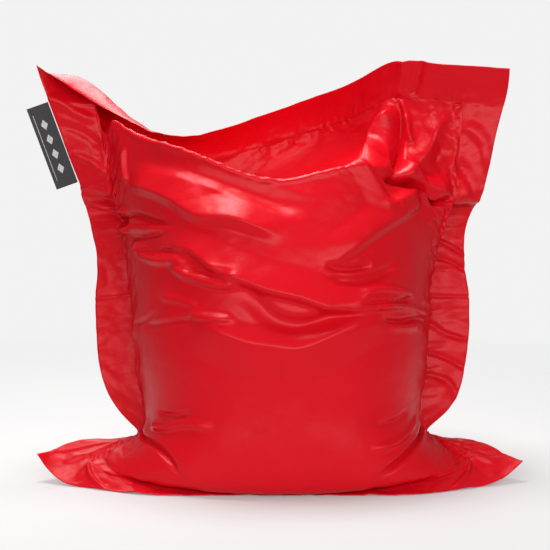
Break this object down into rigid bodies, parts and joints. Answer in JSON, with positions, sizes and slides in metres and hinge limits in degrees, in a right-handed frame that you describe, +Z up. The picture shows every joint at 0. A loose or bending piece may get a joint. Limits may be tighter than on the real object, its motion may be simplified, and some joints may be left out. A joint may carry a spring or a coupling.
{
  "type": "bean bag chair",
  "caption": "Large rectangular bean bag stood on its short end and pressed into a seat, with a flat stitched border all round.",
  "frame": {"origin": "on the floor, under the middle of the sack, midway between its two side borders", "axes": "+Z up, -Y towards the front of the seat, +X towards the right side seen from the front"},
  "size_m": [1.268, 0.7722, 1.0502],
  "materials": {
    "nylon": "coated nylon with a soft shine",
    "beads": "loose polystyrene beads",
    "thread": "polyester thread",
    "tape": "woven zip tape",
    "coil": "nylon coil",
    "metal": "lacquered",
    "label": "woven label, folded"
  },
  "bodies": {
    "sack": {"front_panel": "nylon", "back_panel": "nylon", "bean_fill": "beads", "border_topstitch": "thread", "zip_topstitch": "thread", "zip_tape_upper": "tape", "zip_tape_lower": "tape", "zip_coil_upper": "coil", "zip_coil_lower": "coil", "zip_stop_closed": "metal", "zip_stop_open": "metal"},
    "zip_slider": {"zip_slider": "metal"},
    "side_label": {"side_label": "label"}
  },
  "joints": [
    {"name": "zip_slide", "type": "slide", "parent": "sack", "child": "zip_slider", "axis": [0.9868, -0.0771, 0.1424], "range_m": [-0.433, 0]},
    {"name": "label_swing", "type": "hinge", "parent": "sack", "child": "side_label", "pos_m": [-0.56384, -0.02998, 0.85539], "axis": [-0.324, -0.1128, 0.9393], "range_deg": [-60, 60], "stiffness_Nm_per_rad": 0.01}
  ]
}
